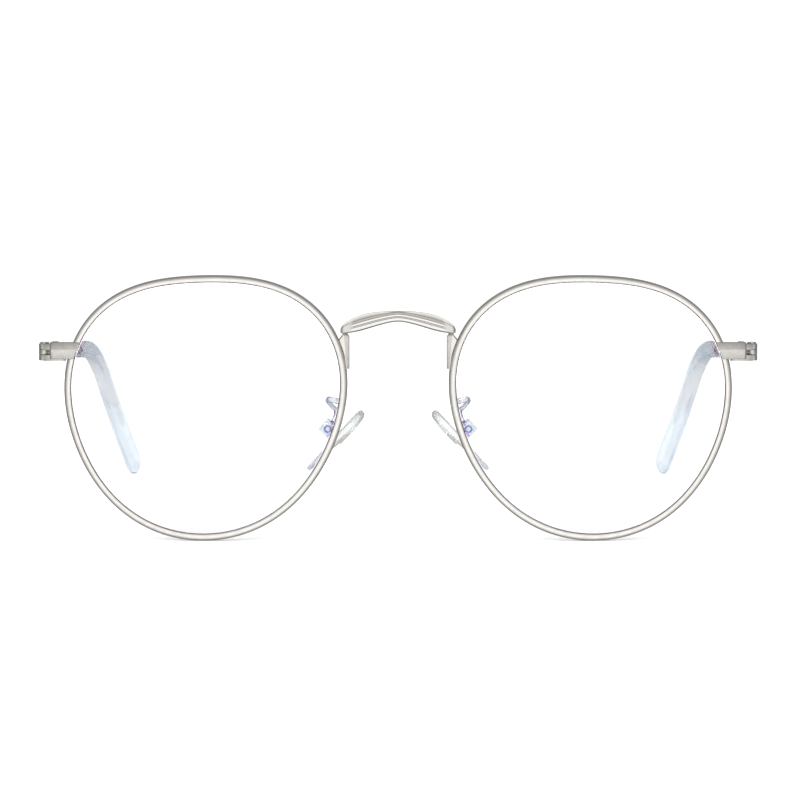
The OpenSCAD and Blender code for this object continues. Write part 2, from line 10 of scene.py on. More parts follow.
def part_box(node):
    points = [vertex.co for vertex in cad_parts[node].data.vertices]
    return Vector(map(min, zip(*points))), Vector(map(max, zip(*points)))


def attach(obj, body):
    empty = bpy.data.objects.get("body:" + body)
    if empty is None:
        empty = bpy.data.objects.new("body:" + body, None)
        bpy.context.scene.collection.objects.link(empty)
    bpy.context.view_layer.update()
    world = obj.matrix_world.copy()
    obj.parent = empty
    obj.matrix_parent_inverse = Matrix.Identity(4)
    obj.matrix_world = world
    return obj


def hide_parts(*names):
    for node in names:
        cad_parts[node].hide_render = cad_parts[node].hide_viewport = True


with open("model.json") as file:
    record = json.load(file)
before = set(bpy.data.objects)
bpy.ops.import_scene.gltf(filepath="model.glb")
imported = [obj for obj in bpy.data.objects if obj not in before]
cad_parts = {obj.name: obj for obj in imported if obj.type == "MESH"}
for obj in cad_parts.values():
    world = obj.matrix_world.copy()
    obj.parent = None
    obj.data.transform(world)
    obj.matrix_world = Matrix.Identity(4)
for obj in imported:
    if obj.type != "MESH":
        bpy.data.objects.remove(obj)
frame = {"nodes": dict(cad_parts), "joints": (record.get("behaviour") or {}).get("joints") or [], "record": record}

bl_info = {
    "name": "Round wire eyeglasses",
    "version": (1, 0, 0),
    "blender": (4, 5, 0),
    "location": "3D View > Sidebar > Eyeglasses",
    "description": "Builds the visible pieces of round wire eyeglasses around their frame",
    "category": "Add Mesh",
}

# Everything is in metres, in the frame's own axes: +Z up, the front faces -Y.
# "left" is the wearer's left, on the +X side.
MM = 0.001
SIDES = {"left": 1, "right": -1}
JOINTS = {joint["name"]: joint for joint in frame["joints"]}
MOUNTS = {mount["name"]: mount for mount in frame["record"]["mounts"]}


def linear(code):
    """Linear red, green and blue of an sRGB hex colour such as "c8c4ba"."""
    values = [int(code[i:i + 2], 16) / 255 for i in (0, 2, 4)]
    return [v / 12.92 if v <= 0.04045 else ((v + 0.055) / 1.055) ** 2.4 for v in values]


# ---- sizes and colours that a user would change


def length(name, description, millimetres):
    """A length property with its default given in millimetres."""
    return FloatProperty(
        name=name, description=description, default=millimetres * MM, unit="LENGTH", precision=5)


def angle(name, description, degrees):
    """An angle property with its default given in degrees."""
    return FloatProperty(
        name=name, description=description, default=math.radians(degrees), subtype="ANGLE")


def share(name, description, default):
    """A plain factor."""
    return FloatProperty(name=name, description=description, default=default, precision=3)


def colour(name, description, code):
    """A colour property with its default given as an sRGB hex code."""
    return FloatVectorProperty(
        name=name, description=description, default=linear(code), subtype="COLOR", min=0, max=1)


class EyeSizes(bpy.types.PropertyGroup):
    """The outline that the rims and lenses share"""
    radius: length("Radius", "Mean radius of the rim wire's centreline", 25.6)
    nose_gap: length("Nose gap", "Distance between the two rims at their nearest", 20.6)
    lift: share("Lift", "Raises the widest part of the eye", 0.039)
    wide: share("Wide", "Widens the eye and lowers it", 0.027)
    lean: share("Lean", "Leans the eye towards the nose", 0.011)
    brow: share("Brow", "Flattens the brow and narrows the cheek side", 0.041)
    square: share("Square", "Squares the eye's corners", 0.014)
    face_form: angle("Face form", "Backward turn of each half of the front", 3)
    end_z: length("End piece height", "Height of the rim's cut above the lens centre", 10.8)
    lock_gap: length("Rim cut", "Gap between the rim's two cut ends", 0.3)


class RimSizes(bpy.types.PropertyGroup):
    """The rim wire's section and the lens in it"""
    width: length("Width", "Width of the rim wire seen from the front", 1.4)
    depth: length("Depth", "Depth of the rim wire, front to back", 2)
    groove_depth: length("Groove depth", "Depth of the lens groove inside the rim", 0.45)
    groove_width: length("Groove width", "Width of the lens groove at its mouth", 0.9)
    base_curve: length("Base curve", "Radius of the sphere that the lens follows", 100)
    lens_thickness: length("Lens thickness", "Thickness of the lens", 1.8)


class BridgeSizes(bpy.types.PropertyGroup):
    """The coined bridge bar and the flat legs that carry it"""
    low: length("Lower edge", "Height of the bar's lower edge above the lens centre", 16.5)
    over: length("Over", "Reach of each end past the rims' nearest points", 0.6)
    height: length("Height", "Height of the bar at its middle", 1.95)
    depth: length("Depth", "Depth of the bar, front to back", 2.2)
    slope: share("Slope", "Fall of the lower edge", 0.33)
    stand: length("Stand", "Distance of the bar's middle in front of the rims", 0.5)
    end_round: length("End rounding", "Radius of the bar's ends", 0.7)
    bead_pitch: length("Bead pitch", "Spacing of the beads in the bar's rows", 0.42)
    leg_z: length("Leg foot", "Height of the leg's lower end above the lens centre", 7.5)
    leg_reach: length("Leg reach", "Reach of the leg towards the nose", 1.04)
    leg_depth: length("Leg depth", "Depth of the leg, front to back", 1.4)


class TempleSizes(bpy.types.PropertyGroup):
    """The temple wires and their plastic tips"""
    length: length("Length", "Length from the hinge to the tip's end", 145)
    wire: length("Wire", "Diameter of the temple wire", 1.5)
    wire_start: length("Wire start", "Distance from the hinge to where the wire enters its block", 3.3)
    tip_start: length("Tip start", "Distance from the hinge to the plastic tip", 78)
    bend_start: length("Bend start", "Distance from the hinge to the ear bend", 92.5)
    bend_radius: length("Bend radius", "Radius of the ear bend", 30)
    bend_angle: angle("Bend angle", "Angle of the ear bend", 40)
    inward: length("Inward", "How far the tip's end curves in towards the head", 8.2)
    tip_diameter: length("Tip diameter", "Thickness of the plastic at its front end", 3.3)
    paddle_height: length("Paddle height", "Height of the plastic near its end", 5.4)
    paddle_width: length("Paddle width", "Width of the plastic near its end", 3.3)
    solid: length("Solid end", "Length of solid plastic past the wire's end", 17)
    end_round: length("End rounding", "Length over which the tip's end is rounded", 3.4)


class PadSizes(bpy.types.PropertyGroup):
    """The nose pads and their arms"""
    out: length("Screw place", "Distance of the pad screw from the rims' nearest points", 3.5)
    height: length("Screw height", "Height of the pad screw relative to the lens centre", -4.3)
    behind: length("Screw depth", "Distance of the pad screw behind the rim", 6.6)
    lean: angle("Lean", "Lean of the pad away from vertical", 43)
    length: length("Length", "Length of the pad", 14.9)
    width: length("Width", "Width of the pad, front to back", 8)
    thickness: length("Thickness", "Thickness of the pad at its middle", 2)
    offset: length("Offset", "Distance from the screw to the pad's back face", 2)
    drop: length("Drop", "Drop of the pad's centre below the screw", 0.75)
    arm: length("Arm", "Diameter of the pad arm's wire", 0.9)
    arm_foot_z: length("Arm foot", "Height of the arm's foot above the lens centre", 1.2)
    box_height: length("Box height", "Height of the pad box, on whose top the arm ends", 2.6)


class Colours(bpy.types.PropertyGroup):
    """Base colours of the finishes"""
    wire: colour("Wire", "Polished nickel silver wire", "e8e5e0")
    stamped: colour("Stamped", "Pressed nickel silver sheet", "d2cfca")
    coined: colour("Coined", "Raised metal of the bridge", "e4e2dd")
    # The recess grey goes in the bridge's grooves, and over its plain ends as painted shade
    recess: colour("Recess", "Oxidised hollows of the bridge", "928e87")
    steel: colour("Steel", "Turned steel screws", "c3c4c8")
    # This violet is a painted reflection, put on the pad fittings' slanted and upward faces and in the pad screws'
    # cones
    painted_violet: colour("Blued steel", "Blued cones of the pad screws and heat-tinted edges", "6258a0")
    lens: colour("Lens", "Clear lens resin", "fbfcff")
    acetate: colour("Acetate", "Translucent tip plastic", "d6d9db")
    silicone: colour("Silicone", "Translucent pad silicone", "e6e9e7")
    floor: colour("Floor", "Matt paper under the object", "f4f4f4")


class StageSizes(bpy.types.PropertyGroup):
    """Camera, floor and lights"""
    distance: length("Camera distance", "Distance from the camera to the front's middle", 720)
    elevation: angle("Camera height", "Angle of the camera above the horizon", 4.18)
    aim_x: length("Aim across", "Sideways place that the camera aims at", 0.36)
    aim_z: length("Aim up", "Height that the camera aims at", 26.77)
    focal: FloatProperty(name="Focal length", description="Camera lens", default=170.7, unit="CAMERA")
    floor_radius: length("Floor radius", "Radius of the floor", 420)
    key: share("Key light", "Strength of the soft main light", 2.2)
    sky: share("Sky", "Strength of the even light from all round", 1.18)


class Glasses(bpy.types.PropertyGroup):
    """All the sizes and colours"""
    eye: PointerProperty(type=EyeSizes)
    rim: PointerProperty(type=RimSizes)
    bridge: PointerProperty(type=BridgeSizes)
    temple: PointerProperty(type=TempleSizes)
    pad: PointerProperty(type=PadSizes)
    colours: PointerProperty(type=Colours)
    stage: PointerProperty(type=StageSizes)
    fineness: IntProperty(name="Fineness", description="Steps round each rim", default=288, min=72)


# ---- places that several pieces share


class Eye:
    """The outline of one eye, and the way from a half front's own axes to the frame's.

    Angle 0 points to the nose and a quarter turn points up. out is away from the lens
    centre, back is towards the face.
    """

    def __init__(self, glasses):
        self.sizes = glasses.eye
        self.rim = glasses.rim
        self.turn = Matrix.Rotation(self.sizes.face_form, 3, "Z")
        reach = [self.radius(math.radians(a)) * math.cos(math.radians(a)) for a in range(-30, 61)]
        self.centre_x = self.sizes.nose_gap / 2 + max(reach)
        self.seat = Vector((0, 0, 0))
        wire = [
            self.to_frame(self.point(math.radians(a), out, back), 1)
            for a in range(0, 360, 5)
            for out, back in rim_section(self.rim, 1)
        ]
        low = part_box("rim_left")[0]
        self.seat = Vector((0, low.y - min(p.y for p in wire), low.z - min(p.z for p in wire)))

    def radius(self, a):
        """Distance of the outline from the lens centre at angle a."""
        s = self.sizes
        return s.radius * (
            1 + s.lift * math.sin(a) + s.wide * math.cos(2 * a) + s.lean * math.sin(2 * a)
            + s.brow * math.sin(3 * a) - s.square * math.cos(4 * a))

    def normal(self, a):
        """Angle that points straight out of the outline at angle a."""
        step = math.radians(0.5)
        slope = (self.radius(a + step) - self.radius(a - step)) / (2 * step)
        return a - math.atan(slope / self.radius(a))

    def fall(self, r):
        """How far the base curve falls back at radius r, from where the wire's mean radius is."""
        curve = self.rim.base_curve
        return math.sqrt(curve ** 2 - self.sizes.radius ** 2) - math.sqrt(curve ** 2 - r ** 2)

    def point(self, a, out=0.0, back=0.0):
        """Place at angle a in the half front's own axes, on the sphere of the base curve."""
        r = self.radius(a)
        n = self.normal(a)
        return Vector((
            self.centre_x - r * math.cos(a) - out * math.cos(n),
            self.fall(r) + back,
            r * math.sin(a) + out * math.sin(n)))

    def nose_angle(self, z):
        """Angle at which the outline passes height z on its nose side."""
        a = math.asin(z / self.sizes.radius)
        for _ in range(8):
            a = math.asin(z / self.radius(a))
        return a

    def temple_angle(self, z):
        """Angle at which the outline passes height z on its temple side."""
        a = math.asin(z / self.sizes.radius)
        for _ in range(8):
            a = math.asin(z / self.radius(math.pi - a))
        return math.pi - a

    def to_frame(self, point, side):
        """A place in the half front's own axes, in the frame's axes on the given side."""
        turned = self.turn @ Vector(point)
        return Vector((side * turned.x, turned.y, turned.z)) + self.seat


def smooth_through(points, steps):
    """Points of a smooth curve through the given ones, which include the first and the last."""
    found = []
    for i in range(len(points) - 1):
        b, c = points[i], points[i + 1]
        a = points[i - 1] if i else b
        d = points[i + 2] if i + 2 < len(points) else c
        for k in range(steps):
            f = k / steps
            found.append(tuple(
                0.5 * (2 * q + (r - p) * f + (2 * p - 5 * q + 4 * r - s) * f ** 2
                       + (3 * q - p - 3 * r + s) * f ** 3)
                for p, q, r, s in zip(a, b, c, d)))
    return found + [tuple(points[-1])]


# ---- making meshes


def skin(name, rings):
    """Closed mesh through rings of equal length. Its faces lie in the rings' order, and the
    two end faces come last."""
    count = len(rings[0])
    mesh = bmesh.new()
    rows = [[mesh.verts.new(p) for p in ring] for ring in rings]
    for first, second in zip(rows, rows[1:]):
        for j in range(count):
            k = (j + 1) % count
            mesh.faces.new((first[j], first[k], second[k], second[j]))
    mesh.faces.new(rows[0])
    mesh.faces.new(rows[-1])
    return from_bmesh(name, mesh)


def from_bmesh(name, mesh, smooth_angle=math.radians(38)):
    """Turns a bmesh into an object with outward normals, smooth except at sharp edges."""
    bmesh.ops.recalc_face_normals(mesh, faces=mesh.faces)
    data = bpy.data.meshes.new(name)
    mesh.to_mesh(data)
    mesh.free()
    data.polygons.foreach_set("use_smooth", [True] * len(data.polygons))
    data.set_sharp_from_angle(angle=smooth_angle)
    made = bpy.data.objects.new(name, data)
    bpy.context.scene.collection.objects.link(made)
    return made


def own_solid(node):
    """The frame's own solid of a node as a bmesh, with each flat face in one piece."""
    mesh = bmesh.new()
    mesh.from_mesh(frame["nodes"][node].data)
    bmesh.ops.remove_doubles(mesh, verts=mesh.verts, dist=0.001 * MM)
    bmesh.ops.dissolve_limit(
        mesh, angle_limit=math.radians(1), verts=mesh.verts, edges=mesh.edges)
    return mesh


def round_edges(mesh, width, segments=3, chosen=lambda edge: True):
    """Rounds the sharp edges over, or only the chosen ones among them."""
    sharp = [
        e for e in mesh.edges
        if e.is_manifold and e.calc_face_angle() > math.radians(25) and chosen(e)]
    bmesh.ops.bevel(
        mesh, geom=sharp, offset=width, segments=segments, profile=0.5, affect="EDGES",
        clamp_overlap=True)


def dress(piece, finish, body, node):
    """Gives a piece its material and body, and lets it stand for its node."""
    piece.data.materials.append(finish)
    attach(piece, body)
    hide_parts(node)


# ---- materials


def add(tree, kind, inputs=None, **settings):
    """Adds a node. inputs gives a socket's value, or the output that it is linked to."""
    made = tree.nodes.new(kind)
    for key, value in settings.items():
        setattr(made, key, value)
    for key, value in (inputs or {}).items():
        if isinstance(value, bpy.types.NodeSocket):
            tree.links.new(value, made.inputs[key])
        else:
            made.inputs[key].default_value = value
    return made


def new_material(name, shader):
    """A material with one Principled shader and the values of its sockets."""
    made = bpy.data.materials.new(name)
    made.use_nodes = True
    tree = made.node_tree
    tree.nodes.clear()
    bsdf = add(tree, "ShaderNodeBsdfPrincipled", shader)
    add(tree, "ShaderNodeOutputMaterial", {"Surface": bsdf.outputs["BSDF"]})
    return made, tree, bsdf


def grain(tree, size, stretch=(1, 1, 1), detail=3.0):
    """A random pattern with a grain of the given real size, drawn out along an axis where
    stretch is small."""
    place = add(tree, "ShaderNodeTexCoord")
    scaled = add(
        tree, "ShaderNodeMapping", {"Vector": place.outputs["Object"], "Scale": stretch})
    return add(tree, "ShaderNodeTexNoise", {
        "Vector": scaled.outputs["Vector"], "Scale": 1 / size, "Detail": detail}).outputs["Fac"]


def vary_colour(tree, bsdf, pattern, first, second, span=(0.3, 0.7)):
    """Lets the colour go from first to second as the pattern crosses its span."""
    factor = add(tree, "ShaderNodeMapRange", {
        "Value": pattern, "From Min": span[0], "From Max": span[1], "To Min": 0.0, "To Max": 1.0})
    # 6 and 7 are the sockets of the two colours, and 2 gives the mixed one
    mixed = add(tree, "ShaderNodeMix", {
        0: factor.outputs["Result"], 6: (*first, 1), 7: (*second, 1)}, data_type="RGBA")
    tree.links.new(mixed.outputs[2], bsdf.inputs["Base Color"])


def vary_surface(tree, bsdf, pattern, smooth, rough, depth=0.0, span=(0.3, 0.7)):
    """Lets the roughness go from smooth to rough as the pattern crosses its span, and the
    pattern raise the surface by up to depth."""
    roughness = add(tree, "ShaderNodeMapRange", {
        "Value": pattern, "From Min": span[0], "From Max": span[1],
        "To Min": smooth, "To Max": rough})
    tree.links.new(roughness.outputs["Result"], bsdf.inputs["Roughness"])
    if depth:
        raised = add(tree, "ShaderNodeBump", {
            "Height": pattern, "Distance": depth, "Strength": 1.0})
        tree.links.new(raised.outputs["Normal"], bsdf.inputs["Normal"])


def darker(base, amount):
    return [c * (1 - amount) for c in base]


def drawn_nickel_silver(colours):
    """Drawn and mop-polished nickel silver wire: warm, nearly white, with faint die lines
    along it that break up the long highlights."""
    made, tree, bsdf = new_material("drawn_nickel_silver", {"Metallic": 1.0})
    # Die lines are a few hundredths of a millimetre apart, and are drawn coarser to show
    lines = grain(tree, 0.12 * MM, (1, 0.04, 1))
    vary_surface(tree, bsdf, lines, 0.11, 0.24, 0.002 * MM)
    smears = grain(tree, 1.5 * MM, detail=2.0)
    vary_colour(tree, bsdf, smears, colours.wire, darker(colours.wire, 0.08))
    return made


def pressed_nickel_silver(colours):
    """Nickel silver sheet pressed and barrel-tumbled: satin faces with a fine random
    scratch and a slightly uneven tone."""
    made, tree, bsdf = new_material("pressed_nickel_silver", {"Metallic": 1.0})
    # Tumbling scratches are finer than this, and are drawn coarser to show
    scratches = grain(tree, 0.09 * MM, (0.25, 1, 1), 4.0)
    vary_surface(tree, bsdf, scratches, 0.2, 0.36, 0.004 * MM)
    clouds = grain(tree, 0.8 * MM, detail=2.0)
    vary_colour(tree, bsdf, clouds, colours.stamped, darker(colours.stamped, 0.12))
    return made


def coined_nickel_silver(colours):
    """Nickel silver coined between dies: bright ridges, dark beaded grooves, and the same grey
    over the plain ends as painted shade."""
    made, tree, bsdf = new_material("coined_nickel_silver", {"Metallic": 1.0})
    # Grey by the depth of the grooves, and painted shade on the plain ends
    hollow_and_end_shade = add(tree, "ShaderNodeAttribute", attribute_name="hollow_and_end_shade").outputs["Fac"]
    vary_colour(tree, bsdf, hollow_and_end_shade, colours.coined, colours.recess, (0.0, 1.0))
    patches = grain(tree, 0.25 * MM)
    vary_surface(tree, bsdf, patches, 0.18, 0.32, 0.004 * MM)
    return made


def turned_steel(colours):
    """Stainless steel screws turned on a lathe: bright with fine ring marks."""
    made, tree, bsdf = new_material(
        "turned_steel", {"Base Color": (*colours.steel, 1), "Metallic": 1.0})
    rings = grain(tree, 0.05 * MM, (1, 1, 6))
    vary_surface(tree, bsdf, rings, 0.14, 0.3, 0.003 * MM)
    return made


def violet_painted_reflection(colours):
    """Bright metal with a violet-blue painted reflection on the pad screws' cones, the pad boxes'
    slanted faces and the pad arms' tops and collars, which shifts a little from place to place."""
    made, tree, bsdf = new_material("violet_painted_reflection", {"Metallic": 1.0})
    drift = grain(tree, 0.9 * MM, detail=2.0)
    vary_colour(tree, bsdf, drift, colours.painted_violet, darker(colours.painted_violet, 0.25))
    vary_surface(tree, bsdf, drift, 0.18, 0.3)
    return made


def coated_lens_resin(colours):
    """Cast lens resin, polished and anti-reflection coated: almost invisible, with a faint
    violet-blue bloom where it mirrors the light."""
    made, tree, bsdf = new_material("coated_lens_resin", {
        "Base Color": (*colours.lens, 1), "IOR": 1.5, "Transmission Weight": 1.0,
        "Thin Film Thickness": 294.0, "Thin Film IOR": 1.88})
    # A breath of dust: only the pattern's peaks are past the span's start
    dust = grain(tree, 0.6 * MM, detail=5.0)
    vary_surface(tree, bsdf, dust, 0.0, 0.02, span=(0.55, 0.8))
    return made


def tumbled_acetate(colours):
    """Cellulose acetate injected round the wire and tumbled to a soft gloss: pale grey and
    clear enough to show the metal core."""
    made, tree, bsdf = new_material(
        "tumbled_acetate", {"IOR": 1.48, "Transmission Weight": 0.75})
    clouds = grain(tree, 2.5 * MM, detail=2.0)
    vary_colour(tree, bsdf, clouds, colours.acetate, darker(colours.acetate, 0.06))
    vary_surface(tree, bsdf, clouds, 0.08, 0.16)
    ripple = grain(tree, 1.2 * MM, detail=2.0)
    raised = add(tree, "ShaderNodeBump", {"Height": ripple, "Distance": 0.01 * MM, "Strength": 1.0})
    tree.links.new(raised.outputs["Normal"], bsdf.inputs["Normal"])
    return made


def moulded_silicone(colours):
    """Silicone rubber moulded round a metal plate: frosted, clear in its body and darker grey
    towards its upper end."""
    made, tree, bsdf = new_material(
        "moulded_silicone", {"IOR": 1.41, "Transmission Weight": 0.7})
    place = add(tree, "ShaderNodeTexCoord")
    height = add(tree, "ShaderNodeSeparateXYZ", {"Vector": place.outputs["Generated"]})
    vary_colour(
        tree, bsdf, height.outputs["Z"], colours.silicone, darker(colours.silicone, 0.22),
        (0.74, 0.84))
    # The mould's spark-eroded frost is finer than this, and is drawn coarser to show
    frost = grain(tree, 0.08 * MM)
    vary_surface(tree, bsdf, frost, 0.2, 0.36, 0.004 * MM)
    return made


def paper_floor(colours):
    """Matt white studio paper with a very fine tooth, too even to show more than a breath
    of tone."""
    made, tree, bsdf = new_material("paper_floor", {"Roughness": 0.95, "Specular IOR Level": 0.0})
    tooth = grain(tree, 0.4 * MM)
    vary_colour(tree, bsdf, tooth, colours.floor, darker(colours.floor, 0.01))
    return made


def material(maker, context):
    """The material that maker makes, made once and named after its maker."""
    found = bpy.data.materials.get(maker.__name__)
    return found or maker(context.scene.glasses.colours)


# ---- rims and lenses


def rim_section(rim, steps):
    """Section of the rim wire as (out, back): a rounded wire with a groove for the lens."""
    half = [(-0.5, 0.36), (-0.38, 0.46), (-0.05, 0.5), (0.3, 0.41), (0.5, 0.19)]
    run = [(x * rim.width, y * rim.depth) for x, y in half]
    run += [(x, -y) for x, y in reversed(run)]
    outside = [(min(x, rim.width / 2), y) for x, y in smooth_through(run, steps)]
    groove = [(-rim.width / 2, -rim.groove_width / 2), (-rim.width / 2 + rim.groove_depth, 0),
              (-rim.width / 2, rim.groove_width / 2)]
    return outside + groove


class GLASSES_OT_rims(bpy.types.Operator):
    """Sweep both rim wires round their lenses, cut where the rim lock closes them"""
    bl_idname = "glasses.rims"
    bl_label = "Rims"

    def execute(self, context):
        glasses = context.scene.glasses
        eye = Eye(glasses)
        section = rim_section(glasses.rim, 4)
        cut = eye.temple_angle(glasses.eye.end_z)
        half_gap = math.asin(glasses.eye.lock_gap / 2 / eye.radius(cut))
        step = (2 * math.pi - 2 * half_gap) / glasses.fineness
        for word, side in SIDES.items():
            rings = [
                [eye.to_frame(eye.point(cut + half_gap + i * step, out, back), side)
                 for out, back in section]
                for i in range(glasses.fineness + 1)]
            made = skin("rim_wire_" + word, rings)
            dress(made, material(drawn_nickel_silver, context), "front", "rim_" + word)
        return {"FINISHED"}


class GLASSES_OT_lenses(bpy.types.Operator):
    """Make both lenses: shells on the base curve with a bevel that sits in the groove"""
    bl_idname = "glasses.lenses"
    bl_label = "Lenses"

    def execute(self, context):
        glasses = context.scene.glasses
        eye = Eye(glasses)
        rim = glasses.rim
        half = rim.lens_thickness / 2
        # Rings of each face as shares of its size, closer together at the edge
        shares = [0.004] + [i / 14 for i in range(1, 14)] + [0.975, 0.995]
        play = 0.02 * MM
        face_inset = 0.15 * MM
        bevel_inset = 0.1 * MM
        bevel_tip = rim.groove_depth - 0.08 * MM

        def face(a, part, back):
            edge = eye.point(a, -rim.width / 2 - face_inset)
            x = (edge.x - eye.centre_x) * part
            z = edge.z * part
            return Vector((eye.centre_x + x, eye.fall(math.hypot(x, z)) + back, z))

        bevel = [(-rim.width / 2 - bevel_inset, -rim.groove_width / 2 + play),
                 (-rim.width / 2 + bevel_tip, 0),
                 (-rim.width / 2 - bevel_inset, rim.groove_width / 2 - play)]
        turn = [2 * math.pi * i / glasses.fineness for i in range(glasses.fineness)]
        for word, side in SIDES.items():
            rings = [[face(a, part, -half) for a in turn] for part in shares + [1]]
            rings += [[eye.point(a, out, back) for a in turn] for out, back in bevel]
            rings += [[face(a, part, half) for a in turn] for part in [1] + shares[::-1]]
            placed = [[eye.to_frame(p, side) for p in ring] for ring in rings]
            made = skin("lens_clear_" + word, placed)
            dress(made, material(coated_lens_resin, context), "front", "lens_" + word)
        return {"FINISHED"}


# ---- bridge


def gable(x):
    """Run of a gable with a ridge rounded to 2 mm."""
    ridge = 2 * MM
    return math.hypot(x, ridge) - ridge


def bridge_bottom(bridge, x):
    """Height of the bar's lower edge at x, which levels out towards the ends."""
    level = 6 * MM
    return bridge.low - bridge.slope * gable(x) + 0.03 / MM * max(0, abs(x) - level) ** 2


def bridge_top(bridge, half, x):
    """Height of the bar's upper edge at x, which falls faster towards the ends."""
    fall = 1.1 * MM * (x / half) ** 2 + 1.9 * MM * (x / half) ** 4
    return bridge.low + bridge.height - fall


def hump(v, low, high, power=8):
    """Rise with a flat top, 1 at the middle of the band from low to high and 0 outside it.
    A lower power makes it rounder."""
    across = abs(2 * v - low - high) / (high - low)
    return max(0, 1 - across ** power)


class GLASSES_OT_bridge(bpy.types.Operator):
    """Coin the bridge bar: two rows of beads between plain ridges on its front"""
    bl_idname = "glasses.bridge"
    bl_label = "Bridge"

    # Bands down the front face, as shares of its height from the top
    bead_band = (0.0, 0.24)
    ridge_band = (0.22, 0.45)
    fine_bead_band = (0.44, 0.58)
    broad_band = (0.55, 1.1)
    relief = 0.12 * MM
    # Share of the face below which it turns away downwards
    lower_edge = 0.86
    # Painted shade on the plain ends: how grey they are, where 1 is as grey as the hollows
    end_shade = 0.35
    down_steps = 56
    # Distance from the middle at which the relief starts to fade into the plain ends
    fade_start = 8.5 * MM
    fade_length = 1 * MM

    def rise(self, v, beads):
        """Height of the front face's relief at share v from the top."""
        return max(
            0.05 + 0.3 * hump(v, *self.bead_band, 2) * beads,
            hump(v, *self.ridge_band),
            0.2 + 0.5 * hump(v, *self.fine_bead_band, 2) * beads,
            hump(v, *self.broad_band))

    def section(self, bridge, half, x, face_form):
        """Closed section at x as points, and how grey each of them is: by its depth in the grooves, and on the
        plain ends by a painted shade.
        """
        past = max(0, abs(x) - half + bridge.end_round) / bridge.end_round
        taper = math.sqrt(max(0.02, 1 - past ** 2))
        low = bridge_bottom(bridge, x)
        full = bridge_top(bridge, half, x) - low
        tall = full * (0.45 + 0.55 * taper)
        low += 0.3 * (full - tall)
        front = -bridge.depth / 2 * (0.4 + 0.6 * taper)
        back = bridge.depth / 2 * taper
        brow = tall * (0.04 + 0.2 * math.sin(0.5 * math.pi * min(1, abs(x) / (0.6 * half))))
        lean = 0.15 * brow
        beads = abs(math.sin(math.pi * x / bridge.bead_pitch))
        plain = max(0, min(1, (abs(x) - self.fade_start) / self.fade_length))
        points = []
        for i in range(self.down_steps + 1):
            v = i / self.down_steps
            rise = self.rise(v, beads)
            rise += (0.85 - rise) * plain
            edge = 0.03 * MM * (1 - min(1, 20 * v)) ** 2
            edge += 1.3 * tall * max(0, v - self.lower_edge)
            y = front + self.relief * (1 - rise) + edge
            # On the plain ends this grey is painted shade
            hollow_and_end_shade = (1 - rise) * (1 - plain) + self.end_shade * plain
            points.append((y, low + tall - brow - v * (tall - brow), hollow_and_end_shade))
        # The two back edges are rounded by soft, the lower one first
        soft = 0.16 * MM * taper
        for corner, up in ((low + soft, 0), (low + tall - soft, 90)):
            for t in range(5):
                turn = math.radians(up + 22.5 * t)
                points.append((back - soft + soft * math.sin(turn), corner - soft * math.cos(turn), 0))
        points.append((front + lean, low + tall, 0))
        middle = math.tan(face_form) * gable(x) - bridge.stand
        return [(x, middle + y, z) for y, z, _ in points], [hollow_and_end_shade for _, _, hollow_and_end_shade in points]

    def execute(self, context):
        glasses = context.scene.glasses
        bridge = glasses.bridge
        eye = Eye(glasses)
        half = glasses.eye.nose_gap / 2 + bridge.over
        straight = half - bridge.end_round
        count = 2 * round(4 * straight / bridge.bead_pitch)
        places = [-straight + 2 * straight * i / count for i in range(count + 1)]
        ends = [straight + bridge.end_round * math.sin(math.radians(9 * i)) for i in range(1, 11)]
        places = [-x for x in reversed(ends)] + places + ends
        rings = []
        hollows = []
        for x in places:
            ring, hollow_and_end_shade = self.section(bridge, half, x, glasses.eye.face_form)
            rings.append([Vector(p) + eye.seat for p in ring])
            hollows += hollow_and_end_shade
        made = skin("bridge_bar", rings)
        layer = made.data.attributes.new("hollow_and_end_shade", "FLOAT", "POINT")
        layer.data.foreach_set("value", hollows)
        dress(made, material(coined_nickel_silver, context), "front", "bridge")
        return {"FINISHED"}


